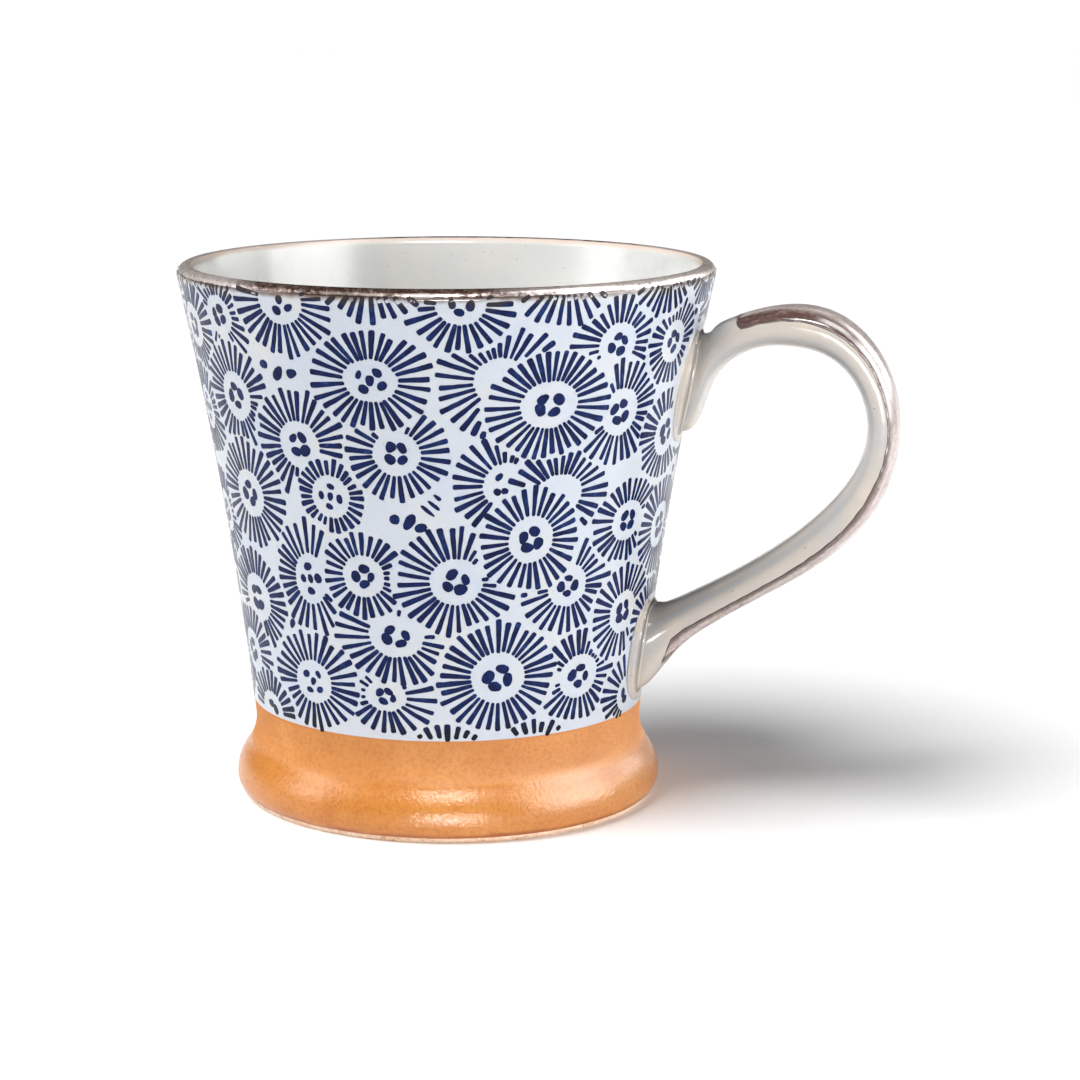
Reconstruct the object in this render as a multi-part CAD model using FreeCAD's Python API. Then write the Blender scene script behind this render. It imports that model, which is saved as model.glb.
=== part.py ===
import FreeCAD, Part
import math
import os
from FreeCAD import Vector

# A stoneware mug: a flared clay cup with a spread foot, a strap handle luted on with two slip
# joints, and the glaze and oxide coats that were fired onto the clay.
# Millimetres and degrees. +Z is up, the origin is on the cup's axis in the plane that the foot
# stands on, and the handle points along +X.

# The cup's outside, as glazed
HEIGHT = 96.0
FOOT_RADIUS = 38.4          # widest part of the spread foot
FOOT_WIDEST_Z = 3.4
FOOT_UNDERCUT_ARC = 3.7     # arc below the widest part
FOOT_SHOULDER_ARC = 8.0     # arc above the widest part
WAIST_RADIUS = 34.85        # narrowest part, above the foot
WAIST_ARC = 9.0
WAIST_FLARE = 6.0           # the wall's lean just above the waist
RIM_FLARE = 12.1            # the wall's lean just below the lip
LIP_OUTER_ARC = 1.7
LIP_INNER_ARC = 1.5
BARE_EDGE_Z = 1.1           # top of the unglazed strip round the bottom
GLAZE_LINE_Z = 17.6         # where the amber and the pale glaze meet
BAND_OUTSIDE_TURN = 24.0    # how far round the lip the oxide band starts, on the outside
BAND_INSIDE_TURN = 30.0     # how far past the lip's crest it goes, on the inside

# The cup's inside and underside
FLOOR_Z = 10.0
FLOOR_CORNER_ARC = 13.0
RECESS_RADIUS = 31.5
RECESS_Z = 3.4
FOOT_RING_ROUND = 0.5

# Coats
COAT = 0.4                  # glaze
BASE_COAT = 0.3             # glaze in the recess
STRIPE_SINK = 0.22          # how far the oxide stripe sinks into the handle's glaze
STRIPE_PROUD = 0.08
STRIPE_NEAR_Y = -8.0        # the stroke lies over the handle's shoulder on this side
STRIPE_FAR_Y = 3.0
STRIPE_EDGE_SHARE = 0.3     # its edge on that side, from the handle's middle to its outer side

# The handle, as glazed: outer point and inner point of each rib in the XZ plane, and its width.
# The first and last ribs lie on the slip pads.
HANDLE_RIBS = [
    ((46.2, 84.2), (44.2, 67.5), 12.3),
    ((48.3, 85.7), (47.5, 75.1), 12.4),
    ((52.0, 87.5), (53.0, 81.0), 12.7),
    ((60.6, 89.5), (60.4, 82.7), 13.0),
    ((69.6, 87.9), (67.2, 81.4), 12.8),
    ((77.0, 80.8), (72.4, 77.0), 12.5),
    ((80.3, 69.9), (74.9, 69.6), 12.3),
    ((78.3, 58.0), (73.1, 61.6), 12.3),
    ((72.8, 49.6), (68.7, 55.3), 12.5),
    ((60.0, 40.0), (57.0, 45.4), 12.8),
    ((47.8, 32.5), (44.7, 38.2), 13.5),
    ((41.0, 26.2), (39.7, 35.8), 14.5),
    ((36.4, 20.8), (38.0, 35.7), 15.5),
]
ROOT_DEPTH = 3.6            # how far the handle's ends run into the wall before they are trimmed
RIB_POINTS = 16
RIB_SQUARENESS = 2.5        # 2 is an ellipse, more is squarer
STRIPE_FIRST_RIB = 2
STRIPE_LAST_RIB = 11
PAD_TOP_MARGIN = 0.5        # how far a slip pad stands out round the handle's end
PAD_FOOT_MARGIN = 2.4       # the same, where the pad's skirt goes into the wall

AXIS = Vector(0, 0, 1)
ORIGIN = Vector(0, 0, 0)


def sine(degrees):
    return math.sin(math.radians(degrees))


def cosine(degrees):
    return math.cos(math.radians(degrees))


def left_of(heading):
    """Unit vector to the left of a heading in the XZ plane (0 is outward, 90 is up)."""
    return Vector(-sine(heading), 0, cosine(heading))


def cup_outline():
    """Start point, heading and steps (arc radius, turn) of the cup's visible surface, from the
    bare edge up the outside, over the lip and down the inside to the floor's corner.
    A left turn is positive. The clay is always on the left."""
    undercut = math.degrees(math.asin((FOOT_WIDEST_Z - BARE_EDGE_Z) / FOOT_UNDERCUT_ARC))
    start = Vector(FOOT_RADIUS - FOOT_UNDERCUT_ARC * (1 - cosine(undercut)), 0, BARE_EDGE_Z)
    both_arcs = FOOT_SHOULDER_ARC + WAIST_ARC
    spread = math.degrees(math.acos(1 - (FOOT_RADIUS - WAIST_RADIUS) / both_arcs))
    wall_low_z = FOOT_WIDEST_Z + both_arcs * sine(spread) + WAIST_ARC * sine(WAIST_FLARE)
    wall_high_z = HEIGHT - LIP_OUTER_ARC * (1 + sine(RIM_FLARE))
    wall_arc = (wall_high_z - wall_low_z) / (sine(RIM_FLARE) - sine(WAIST_FLARE))
    line_sine = sine(WAIST_FLARE) + (GLAZE_LINE_Z - wall_low_z) / wall_arc
    line_flare = math.degrees(math.asin(line_sine))
    inner_arc = wall_arc + LIP_OUTER_ARC + LIP_INNER_ARC
    inner_high_z = HEIGHT - LIP_INNER_ARC * (1 - sine(RIM_FLARE))
    corner_sine = inner_arc * sine(RIM_FLARE) - inner_high_z + FLOOR_Z + FLOOR_CORNER_ARC
    corner_flare = math.degrees(math.asin(corner_sine / (inner_arc + FLOOR_CORNER_ARC)))
    steps = {
        "undercut": (FOOT_UNDERCUT_ARC, undercut),
        "shoulder": (FOOT_SHOULDER_ARC, spread),
        "waist": (WAIST_ARC, -spread - WAIST_FLARE),
        "low_wall": (wall_arc, WAIST_FLARE - line_flare),
        "wall": (wall_arc, line_flare - RIM_FLARE),
        "lip_glazed": (LIP_OUTER_ARC, BAND_OUTSIDE_TURN),
        "lip_outside": (LIP_OUTER_ARC, 90 + RIM_FLARE - BAND_OUTSIDE_TURN),
        "lip_inside": (LIP_INNER_ARC, BAND_INSIDE_TURN),
        "below_lip": (LIP_INNER_ARC, 90 - RIM_FLARE - BAND_INSIDE_TURN),
        "inner_wall": (inner_arc, RIM_FLARE - corner_flare),
        "floor_corner": (FLOOR_CORNER_ARC, corner_flare - 90),
    }
    return start, 90 - undercut, steps


def trace(inset):
    """Arcs of the cup's outline, moved inset millimetres into the clay, by step name."""
    point, heading, steps = cup_outline()
    edges = {}
    for name, (radius, turn) in steps.items():
        side = math.copysign(1, turn)
        centre = point + left_of(heading) * (radius * side)
        reach = radius - inset * side
        stops = [centre - left_of(heading + turn * part) * (reach * side) for part in (0, 0.5, 1)]
        edges[name] = Part.Arc(*stops).toShape()
        heading += turn
        point = centre - left_of(heading) * (radius * side)
    return edges


def start_of(edge):
    return edge.valueAt(edge.FirstParameter)


def end_of(edge):
    return edge.valueAt(edge.LastParameter)


def revolved(edges):
    """Solid of revolution of a closed outline, with its seam on the side away from the handle."""
    face = Part.Face(Part.Wire(Part.__sortEdges__(edges)))
    face.rotate(ORIGIN, AXIS, 180)
    return face.revolve(ORIGIN, AXIS, 360)


def line(first, second):
    return Part.LineSegment(first, second).toShape()


def coat(names):
    """Glaze of an even thickness over the named steps of the outline."""
    outside = trace(0)
    inside = trace(COAT)
    edges = [outside[name] for name in names] + [inside[name] for name in names]
    edges.append(line(start_of(outside[names[0]]), start_of(inside[names[0]])))
    last_out = end_of(outside[names[-1]])
    last_in = end_of(inside[names[-1]])
    if names[-1] == "floor_corner":
        out_on_axis = Vector(0, 0, last_out.z)
        in_on_axis = Vector(0, 0, last_in.z)
        edges += [line(last_out, out_on_axis), line(last_in, in_on_axis)]
        edges.append(line(out_on_axis, in_on_axis))
    else:
        edges.append(line(last_out, last_in))
    return revolved(edges)


def cup_solid(inset):
    """The cup with its outline moved in by inset, which leaves its clay."""
    outline = trace(inset)
    top = end_of(outline["floor_corner"])
    edge = start_of(outline["undercut"])
    ring_outside = edge.x - COAT / 2
    floor_centre = Vector(0, 0, top.z)
    corners = [
        top,
        floor_centre,
        Vector(0, 0, RECESS_Z),
        Vector(RECESS_RADIUS - RECESS_Z / 2, 0, RECESS_Z),
        Vector(RECESS_RADIUS, 0, FOOT_RING_ROUND),
        Vector(RECESS_RADIUS + FOOT_RING_ROUND, 0, 0),
        Vector(ring_outside - FOOT_RING_ROUND, 0, 0),
        Vector(ring_outside, 0, FOOT_RING_ROUND),
        edge,
    ]
    sides = [line(first, second) for first, second in zip(corners, corners[1:])]
    return revolved(list(outline.values()) + sides)


def cup_core(inset):
    """Everything inside the cup's outer surface, moved in by inset, with the hollow filled."""
    outline = trace(inset)
    names = ["undercut", "shoulder", "waist", "low_wall", "wall", "lip_glazed", "lip_outside"]
    crest = end_of(outline["lip_outside"])
    edge = start_of(outline["undercut"])
    corners = [crest, Vector(0, 0, crest.z), ORIGIN, Vector(edge.x, 0, 0), edge]
    sides = [line(first, second) for first, second in zip(corners, corners[1:])]
    return revolved([outline[name] for name in names] + sides)


def base_coat():
    """Glaze on the roof of the recess under the foot."""
    reach = RECESS_RADIUS - RECESS_Z / 2
    return Part.makeCylinder(reach, BASE_COAT, Vector(0, 0, RECESS_Z - BASE_COAT), AXIS)


def rib_wire(rib, inset, shift=0.0):
    """Closed rounded section of the handle across one rib, made smaller by inset."""
    outer = Vector(rib[0][0] + shift, 0, rib[0][1])
    inner = Vector(rib[1][0] + shift, 0, rib[1][1])
    centre = (outer + inner) * 0.5
    across = (outer - inner).normalize()
    half_thick = outer.distanceToPoint(inner) / 2 - inset
    half_wide = rib[2] / 2 - inset
    power = 2 / RIB_SQUARENESS
    points = []
    for index in range(RIB_POINTS):
        angle = 360 * index / RIB_POINTS
        thick = math.copysign(abs(cosine(angle)) ** power, cosine(angle)) * half_thick
        wide = math.copysign(abs(sine(angle)) ** power, sine(angle)) * half_wide
        points.append(centre + across * thick + Vector(0, wide, 0))
    curve = Part.BSplineCurve()
    curve.interpolate(Points=points, PeriodicFlag=True)
    return Part.Wire(curve.toShape())


def handle_loft(inset):
    """The whole handle, made smaller by inset, with both ends run on into the wall."""
    wires = [rib_wire(HANDLE_RIBS[0], inset, -ROOT_DEPTH)]
    wires += [rib_wire(rib, inset) for rib in HANDLE_RIBS]
    wires.append(rib_wire(HANDLE_RIBS[-1], inset, -ROOT_DEPTH))
    return Part.makeLoft(wires, True, False)


def slip_block(rib):
    """Block with sloping sides that runs from inside the wall out to the handle's end."""
    skirt = rib_wire(rib, -PAD_FOOT_MARGIN, -ROOT_DEPTH)
    top = rib_wire(rib, -PAD_TOP_MARGIN)
    return Part.makeLoft([skirt, top], True, True)


def stripe_curtain():
    """Block that holds the handle's outer side over the stroke's length and width."""
    ribs = HANDLE_RIBS[STRIPE_FIRST_RIB:STRIPE_LAST_RIB + 1]
    near_points = []
    far_points = []
    for outer, inner, width in ribs:
        outer_point = Vector(outer[0], STRIPE_NEAR_Y, outer[1])
        inner_point = Vector(inner[0], STRIPE_NEAR_Y, inner[1])
        middle = (outer_point + inner_point) * 0.5
        near_points.append(middle + (outer_point - middle) * STRIPE_EDGE_SHARE)
        far_points.append(outer_point * 2 - inner_point)
    far_points.reverse()
    outline = near_points + far_points
    outline.append(near_points[0])
    return Part.Face(Part.makePolygon(outline)).extrude(Vector(0, STRIPE_FAR_Y - STRIPE_NEAR_Y, 0))


def save(name, shape):
    solids = shape.Solids
    print(name, "solids", len(solids), "valid", shape.isValid(), "volume", round(shape.Volume, 1))
    keep = solids[0] if len(solids) == 1 else Part.Compound(solids)
    keep.exportStep("parts/" + name + ".step")


os.makedirs("parts", exist_ok=True)

upper_block = slip_block(HANDLE_RIBS[0])
lower_block = slip_block(HANDLE_RIBS[-1])
clay_core = cup_core(COAT)
wall_side = cup_core(0).fuse([upper_block, lower_block])
stripe_layer = handle_loft(-STRIPE_PROUD).cut(handle_loft(STRIPE_SINK))
stripe = stripe_layer.common(stripe_curtain())
handle_skin = handle_loft(0).cut(handle_loft(COAT)).cut(wall_side).cut(stripe)

save("cup_body", cup_solid(COAT))
save("handle", handle_loft(COAT).cut(wall_side))
save("upper_slip_joint", upper_block.cut(clay_core))
save("lower_slip_joint", lower_block.cut(clay_core))
save("liner_glaze", coat(["below_lip", "inner_wall", "floor_corner"]))
save("outer_glaze", coat(["wall", "lip_glazed"]).cut([upper_block, lower_block]))
save("rim_oxide_band", coat(["lip_outside", "lip_inside"]))
save("foot_glaze", coat(["undercut", "shoulder", "waist", "low_wall"]))
save("base_glaze", base_coat())
save("handle_glaze", handle_skin)
save("handle_oxide_stripe", stripe)
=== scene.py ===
import math
import random

import bpy
import numpy as np
from mathutils import Matrix, Vector, noise


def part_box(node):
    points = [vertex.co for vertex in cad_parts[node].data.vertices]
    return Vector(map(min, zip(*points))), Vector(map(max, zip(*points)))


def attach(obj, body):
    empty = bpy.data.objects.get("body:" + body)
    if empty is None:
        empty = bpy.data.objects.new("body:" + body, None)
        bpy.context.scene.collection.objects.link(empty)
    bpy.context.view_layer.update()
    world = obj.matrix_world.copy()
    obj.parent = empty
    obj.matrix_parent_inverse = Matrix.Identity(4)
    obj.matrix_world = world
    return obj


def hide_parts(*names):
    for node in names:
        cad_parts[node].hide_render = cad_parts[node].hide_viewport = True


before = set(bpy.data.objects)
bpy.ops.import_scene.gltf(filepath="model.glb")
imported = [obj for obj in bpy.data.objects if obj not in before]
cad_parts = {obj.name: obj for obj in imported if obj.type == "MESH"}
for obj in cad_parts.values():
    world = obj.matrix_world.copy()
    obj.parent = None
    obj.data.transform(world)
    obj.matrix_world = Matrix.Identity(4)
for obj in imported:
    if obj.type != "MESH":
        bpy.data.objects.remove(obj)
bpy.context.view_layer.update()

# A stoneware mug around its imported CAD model. Metres and radians, unless a name says otherwise.
# +Z is up, the handle points along +X and the cup's axis is the Z axis.

MM = 0.001
DEGREE = math.pi / 180

# Camera
CAMERA_AZIMUTH = -76.0 * DEGREE
CAMERA_DISTANCE = 500 * MM  # from the cup's axis
CAMERA_HEIGHT = 146.4 * MM
CAMERA_PITCH = 11.41 * DEGREE  # below level
CAMERA_ROLL = -0.2 * DEGREE
CAMERA_LENS = 94.2
CAMERA_SENSOR = 36.0
CAMERA_SHIFT_X = 0.0858
CAMERA_CLIP_START = 10 * MM

# Studio
WHITE = (255, 255, 255)
BLACK = (0, 0, 0)
FLOOR_REACH = 40.0
FLOOR_COLOUR = (250, 250, 250)
FLOOR_ROUGHNESS = 0.9
FLOOR_SPECULAR = 0.1
BACKDROP_RADIUS = 5.0
BACKDROP_HEIGHT = 4.0
BACKDROP_SIDES = 96
WORLD_STRENGTH = 0.08
SUN_STRENGTH = 3.85  # soft shadow to the right, with no glint of its own
SUN_SPREAD = 44 * DEGREE
SUN_AZIMUTH = -140 * DEGREE
SUN_ELEVATION = 57 * DEGREE
LIGHT_DISTANCE = 0.75
LIGHT_AIM_Z = 45 * MM
# Fills light the mug and leave no glint, and cards are only seen as glints. A row has the name, azimuth
# and elevation as seen from the mug in degrees, width, height, and power in watts.
FILLS = [
    ("right_fill", -10, 6, 0.20, 0.30, 2.6),
    ("front_right_fill", -32, 3, 0.30, 0.10, 1.1),
    ("left_fill", -151, 18, 0.14, 0.36, 0.2),
]
CARDS = [
    ("right_card", -2, 22, 0.64, 0.60, 10.9),
    ("far_right_card", 45, 20, 0.50, 0.42, 2.6),
    ("high_right_card", 6, 60, 0.42, 0.32, 3.0),
    ("left_card", -160, 24, 0.34, 0.50, 2.5),
    ("front_low_card", -75, -2, 0.32, 0.09, 4.8),
    ("front_high_card", -75, 51, 0.27, 0.12, 3.2),
]

# Edges of the CAD's coats
RIM_BAND_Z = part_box("rim_oxide_band")[0].z
GLAZE_LINE_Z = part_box("outer_glaze")[0].z
BARE_EDGE_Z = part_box("foot_glaze")[0].z
LINER_TOP_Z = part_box("liner_glaze")[1].z
BULGE_SHARE = 0.50  # of the amber glaze's height
BULGE_TOP_Z = BARE_EDGE_Z + BULGE_SHARE * (GLAZE_LINE_Z - BARE_EDGE_Z)
LIP_OUTER_ARC = 1.7 * MM  # from the lip's outer side in to its crest
LIP_CREST_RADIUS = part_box("rim_oxide_band")[1].y - LIP_OUTER_ARC

# Looks of the coats. Colours are sRGB from 0 to 255, and a ramp has stops of a noise value and a colour.
# A grain is a noise: its scale per metre, its detail and its roughness. Specks have a colour, a scale per
# metre and a size. A span is where something starts and where it is full, in metres past an edge, and
# ragged is the grain that moves that edge and how far it does.
CLAY_GRAIN = (900, 6, 0.7)
CLAY_RAMP = [(0.32, (214, 164, 122)), (0.48, (248, 214, 184)), (0.64, (254, 234, 214))]
CLAY_ROUGHNESS = 0.82
CLAY_BUMP = 0.12 * MM

GLAZE_IOR = 1.5
GLAZE_ROUGHNESS = 0.14
GLAZE_RIPPLE = 0.02 * MM
GLAZE_RIPPLE_GRAIN = (420, 2, 0.5)
GLAZE_CLOUDS = (90, 5, 0.6)
CLOUD_STOPS = (0.30, 0.50, 0.72)
SPECK_FREE = 0.62  # share of the specks' cells that stay empty

WALL_TONES = [(190, 199, 213), (197, 203, 212), (204, 206, 207)]
WALL_SPECKS = ((178, 168, 158), 700, 0.08)
WALL_BLEED = (112, 92, 84)
WALL_BLEED_SPAN = (-0.1 * MM, 0.9 * MM)
WALL_RAGGED = ((260, 4, 0.6), 1.6 * MM)

LINER_TONES = [(222, 223, 222), (229, 229, 226), (234, 232, 228)]
LINER_SPECKS = ((176, 166, 156), 620, 0.07)
LINER_TINT = (226, 205, 190)
LINER_TINT_SPAN = (-0.6 * MM, 0.6 * MM)
LINER_RAGGED = ((160, 3, 0.5), 1.0 * MM)
LINER_ROUGHNESS = 0.21

HANDLE_TONES = [(178, 178, 178), (193, 185, 176), (206, 193, 178)]
HANDLE_SPECKS = ((124, 102, 88), 640, 0.08)
# Painted shade: a cool grey band along the handle's inner chamfer
HANDLE_PAINTED_SHADE = (164, 166, 168)
HANDLE_PAINTED_SHADE_SHARE = 0.6
HANDLE_PAINTED_SHADE_START = (0.56, 0.62)  # of the turn from the outer side to the inner side
HANDLE_PAINTED_SHADE_END = (0.76, 0.68)

COBALT_GRAIN = (520, 4, 0.65)
COBALT_RAMP = [(0.32, (3, 14, 53)), (0.54, (7, 27, 77)), (0.76, (30, 57, 115))]
COBALT_RAGGED = ((300, 4, 0.6), 4 * MM)
COBALT_BY_AMBER = (18, 18, 30)
COBALT_BY_AMBER_SPAN = (6.5 * MM, 2.0 * MM)
COBALT_BY_OXIDE = (50, 46, 50)
COBALT_BY_OXIDE_SPAN = (0.2 * MM, 1.4 * MM)
COBALT_IOR = 1.25

AMBER_CLOUDS = (70, 6, 0.62)
AMBER_TONES = [(189, 117, 49), (201, 130, 61), (212, 143, 75)]
AMBER_GRAIN = (1500, 3, 0.6)
AMBER_GRAIN_WINDOW = (0.44, 0.66)
AMBER_GRAIN_SHARE = 0.36
AMBER_DARK = (160, 94, 40)
AMBER_SPECKS = ((166, 100, 56), 820, 0.11)
AMBER_FOOT = (160, 88, 36)
AMBER_FOOT_SPAN = (1.5 * MM, 0.7 * MM)
AMBER_LINE = (194, 123, 62)
AMBER_LINE_SPAN = (-0.2 * MM, 0.5 * MM)
AMBER_RAGGED = ((230, 3, 0.5), 1.2 * MM)
AMBER_BULGE_ROUGHNESS = 0.20
AMBER_WAIST_ROUGHNESS = 0.75
AMBER_ROUGHNESS_RUN = 2 * MM
AMBER_BUMP = 0.10 * MM

RIM_MOTTLE = (1100, 5, 0.7)
RIM_BROWN = [(0.36, (46, 31, 27)), (0.50, (104, 81, 73)), (0.62, (200, 184, 174))]
RIM_GREY = [(0.36, (112, 98, 94)), (0.48, (198, 188, 184)), (0.60, (240, 234, 230))]
RIM_PATCHES = ((60, 3, 0.5), 30 * MM)
RIM_ASIDE = (33 * MM, 45 * MM)  # from the middle of the front, where brown turns grey
RIM_RAGGED = ((300, 4, 0.6), 0.7 * MM)
RIM_EDGING_BROWN = (70, 48, 41)
RIM_EDGING_GREY = (190, 178, 172)
RIM_EDGING_SPAN = (1.85 * MM, 1.45 * MM)
RIM_EDGING_SHARE = 0.75
RIM_WORN = (222, 206, 198)
RIM_WORN_SPAN = (-0.05 * MM, -0.30 * MM)
# Painted highlight on the rim band: a pale, patchy streak a little above its lower edge, standing in for
# the lamps' glint
RIM_PAINTED_HIGHLIGHT = (230, 216, 207)
RIM_PAINTED_HIGHLIGHT_START = (0.62 * MM, 0.80 * MM)
RIM_PAINTED_HIGHLIGHT_END = (1.20 * MM, 1.05 * MM)
RIM_PAINTED_HIGHLIGHT_GRAIN = (75, 3, 0.5)
RIM_PAINTED_HIGHLIGHT_WINDOW = (0.40, 0.60)
RIM_PAINTED_HIGHLIGHT_SHARE = 0.65
RIM_LOWER_EDGE = (52, 36, 33)
RIM_BODY_SPAN = (0.50 * MM, 0.75 * MM)
RIM_METAL = 0.4
RIM_ROUGHNESS = 0.22
RIM_BUMP = 0.04 * MM

# The brushed stroke's own coordinates run along it, across it and in from its edges
BRUSH_STRETCH = (1.4, 9.0, 1.0)
BRUSH_STREAKS = (1.0, 5, 0.7)
BRUSH_STREAK_SHARE = 0.6
BRUSH_MOTTLE = (1300, 5, 0.7)
BRUSH_WASH = [(0.36, (130, 108, 102)), (0.47, (182, 166, 161)), (0.60, (208, 198, 194))]
BRUSH_HEAVY = [(0.34, (46, 30, 27)), (0.50, (92, 68, 62)), (0.66, (150, 128, 121))]
BRUSH_HEAVY_RUN = (0.5, 4.2)  # along the stroke, where its heavy side narrows
BRUSH_HEAVY_WIDTHS = (0.50, 0.14)  # across the stroke, before and after
BRUSH_WASH_WINDOW = (-0.10, 0.12)
BRUSH_EDGE = (74, 50, 45)
BRUSH_EDGE_WINDOW = (0.12, 0.02)
BRUSH_ROUGHNESS = 0.17
BRUSH_IOR = 1.9
BRUSH_BUMP = 0.03 * MM

# Print: a flat sheet that rolls up into the cone of the wall, in millimetres of the sheet.
# "along" runs round the cup from the front and towards the handle at mid height, "up" is from mid height.
SHEET_MID_Z = 56 * MM
TILE_WIDTH_TURNS = 0.5  # the sheet holds the same tile twice
PRINT_SEED = 11
PRINT_TOP = 39.4
PRINT_BOTTOM = -38.5
PRINT_OVERRUN = 0.9  # how far a few strokes run past the glaze line
PRINT_TOP_LIFT = 0.03 * MM
PRINT_SINK = 0.05 * MM
WALL_FACING = 0.9  # cosine of the most that a face of the wall's outer side leans
RAY_INNER_WIDTH = 0.66
RAY_OUTER_WIDTH = 1.03
RAY_PITCH = 0.82  # middle to middle, at the edge of a flower's heart
RAY_STEP = 0.2
RAY_SHORTEST = 0.7
RAY_TURN_SPREAD = 0.12  # of the turn from one ray to the next
RAY_GAP = 0.25  # most between the heart's edge and a ray
RAY_REACH = (0.88, 1.10)  # ends of the rays, in shares of the flower's own
RAY_THICKNESS = (0.84, 1.14)
STROKE_STEP = 1.1  # between two side points of a stroke
STROKE_CAP_STOP = 0.3  # of a rounded end's length, at its second side point
STROKE_CAP_WIDTHS = (0.45, 0.82)
STROKE_UNEVEN = (0.90, 1.08)
# Marks of a heart: how far out they stand and their size, in shares of the heart, and whether one more
# is in the middle. One heart in four has the fifth mark.
HEART_OF_FOUR = (0.38, 0.25, False)
HEART_OF_FIVE = (0.50, 0.20, True)
HEART_KINDS = (HEART_OF_FOUR, HEART_OF_FOUR, HEART_OF_FOUR, HEART_OF_FIVE)
HEART_RING_MARKS = 4
HEART_TURN_SPREAD = 0.2
# Small marks, in the hearts and in the gaps
MARK_SIZES = (0.88, 1.12)
MARK_LENGTH = 1.1
MARK_SQUASH = (0.72, 0.95)
MARK_TILT = 0.4  # radians
MARK_STATIONS = (-0.97, -0.75, -0.35, 0.0, 0.35, 0.75, 0.97)  # in half lengths
MARK_ROUNDNESS = (0.75, 1.0)
MARK_SKEW = 0.25
MARK_UNEVEN = (0.92, 1.06)
MARK_CLEARANCE = 0.5  # of a gap mark's half length, kept clear of the flowers
FLOWER_SPREAD = 1.03  # of the reaches given below
FLOWER_GAP = 0.42  # blank strip before the flower in front
FLOWER_NEIGHBOUR_GAP = 4  # beyond two flowers' radii, nothing is hidden

# Flowers, back to front: along, up, half width and half height of the heart, reach of the rays
FLOWERS = [
    (-39, 34, 3.6, 3.4, 8.5), (-25, 38, 4.3, 4.0, 10), (-50, 31, 4.0, 3.8, 8.5), (-62, 35, 4.0, 3.8, 9),
    (-62, 22, 4.2, 4.0, 9), (-53, 16, 4.0, 3.8, 8.5), (-66, 8, 4.2, 4.2, 9.5), (-54, -3, 4.0, 3.8, 8.5),
    (-65, -9, 3.8, 4.0, 9), (-57, -17, 4.2, 4.0, 8.5), (-62, -30, 4.0, 4.2, 9.5),
    (-72, -21, 4.0, 3.8, 8.5), (-72, 21, 4.2, 3.8, 9), (-74, 3, 3.8, 4.0, 8.5), (-71, 38, 4.0, 3.8, 9),
    (-72, -37, 4.0, 3.8, 9), (-38.5, 20, 4.0, 4.2, 9), (-25, 13, 4.0, 4.0, 9.5),
    (-20, 4.3, 3.5, 3.6, 6.5), (-39.5, 2.5, 4.1, 4.1, 9.5), (-26, -11, 3.2, 4.5, 9),
    (-43, -17, 4.4, 4.2, 9), (-12, -31, 3.5, 2.6, 8), (-9.5, -20, 4.6, 3.6, 9.5),
    (-15, -9.5, 3.6, 3.6, 7.5), (1.5, -10, 4.3, 4.0, 10), (9.5, 7, 3.7, 3.6, 9), (19, 4.5, 4.4, 3.5, 9),
    (22.5, -12, 3.7, 3.6, 9), (14.5, -3, 3.9, 4.0, 9), (27, -29, 4.0, 3.8, 8.5),
    (9.5, -27.5, 4.5, 4.4, 10), (-28, -30, 3.8, 3.8, 9), (-50, -28, 4.0, 3.8, 8.5),
    (-43, -38, 3.6, 3.4, 7.5), (-8, 12.5, 3.9, 3.7, 8.5), (-11.5, 25, 4.5, 3.5, 9.5),
    (27, 30, 3.8, 3.6, 9), (29.5, 18, 4.0, 4.0, 9), (8, 25, 4.3, 3.8, 10), (16, 20.5, 5.0, 3.9, 10),
    (2, 38, 3.9, 3.2, 8.5), (46.5, 32, 3.2, 3.2, 8), (40.5, 29, 3.5, 3.6, 7.5),
    (44, 12.5, 4.0, 4.0, 8.5), (35.5, -2, 4.0, 3.4, 8), (49, -5, 4.0, 4.0, 9), (38, -19, 3.7, 3.7, 8.5),
    (43.5, -35, 3.2, 3.2, 8), (-10.5, 45, 4.0, 4.0, 10), (17, 44, 4.0, 4.0, 10), (36, 43, 4.0, 4.0, 9),
    (0, -44, 3.6, 3.6, 8), (50, -22, 3.4, 3.4, 7.5), (49, 42, 3.6, 3.6, 7.5),
    (18, -43.5, 3.4, 3.4, 7.5),
]
# Small marks that fill the gaps: along, up, half length, half width, turn in degrees
FILL_MARKS = [
    (-30, 26.5, 0.9, 0.8, 0), (-27.3, 25.2, 1.5, 0.9, 60), (-24.6, 25.4, 1.1, 0.8, 20),
    (-8.8, 1, 0.9, 0.9, 0), (-6.3, 0.6, 1.6, 0.9, 60), (-4.4, -0.4, 1.1, 0.8, 20),
    (-3.2, 2.6, 1.5, 0.35, -40), (-2.2, 3.6, 1.3, 0.35, -40), (-1.6, 5, 0.8, 0.35, -40),
    (-18, 14.2, 1.3, 0.8, 20), (-20.5, 12.4, 0.5, 0.35, 0), (7.2, -12.3, 1.2, 0.7, 30),
    (9.2, -13, 0.8, 0.8, 0), (6.8, -14.6, 0.8, 0.4, 50), (25, -21.8, 1.1, 0.8, 10),
    (32, 8.8, 1.2, 0.9, 40), (39.5, -27.5, 1.0, 0.7, 0), (36.5, 11, 0.9, 0.6, 60),
    (-32, -20, 1.0, 0.6, 70), (-46, 9, 1.0, 0.7, 30), (-60, -2, 0.9, 0.7, 0), (-71, -7, 1.2, 0.8, 40),
    (-51, -12, 0.9, 0.6, 10), (-64, 28, 0.9, 0.6, 0), (33, 22, 0.9, 0.7, 20), (1, 17.5, 0.8, 0.6, 0),
    (18.5, -21, 1.1, 0.6, 60), (-36.5, -27, 0.9, 0.7, 0),
]
# Where the handle joins the wall there is no print: middle height, half width and half height
HANDLE_BLANKS = [(19.8, 9.0, 11.6), (-30.5, 11.0, 12.0)]
BLANK_SQUARENESS = 2.6

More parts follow.
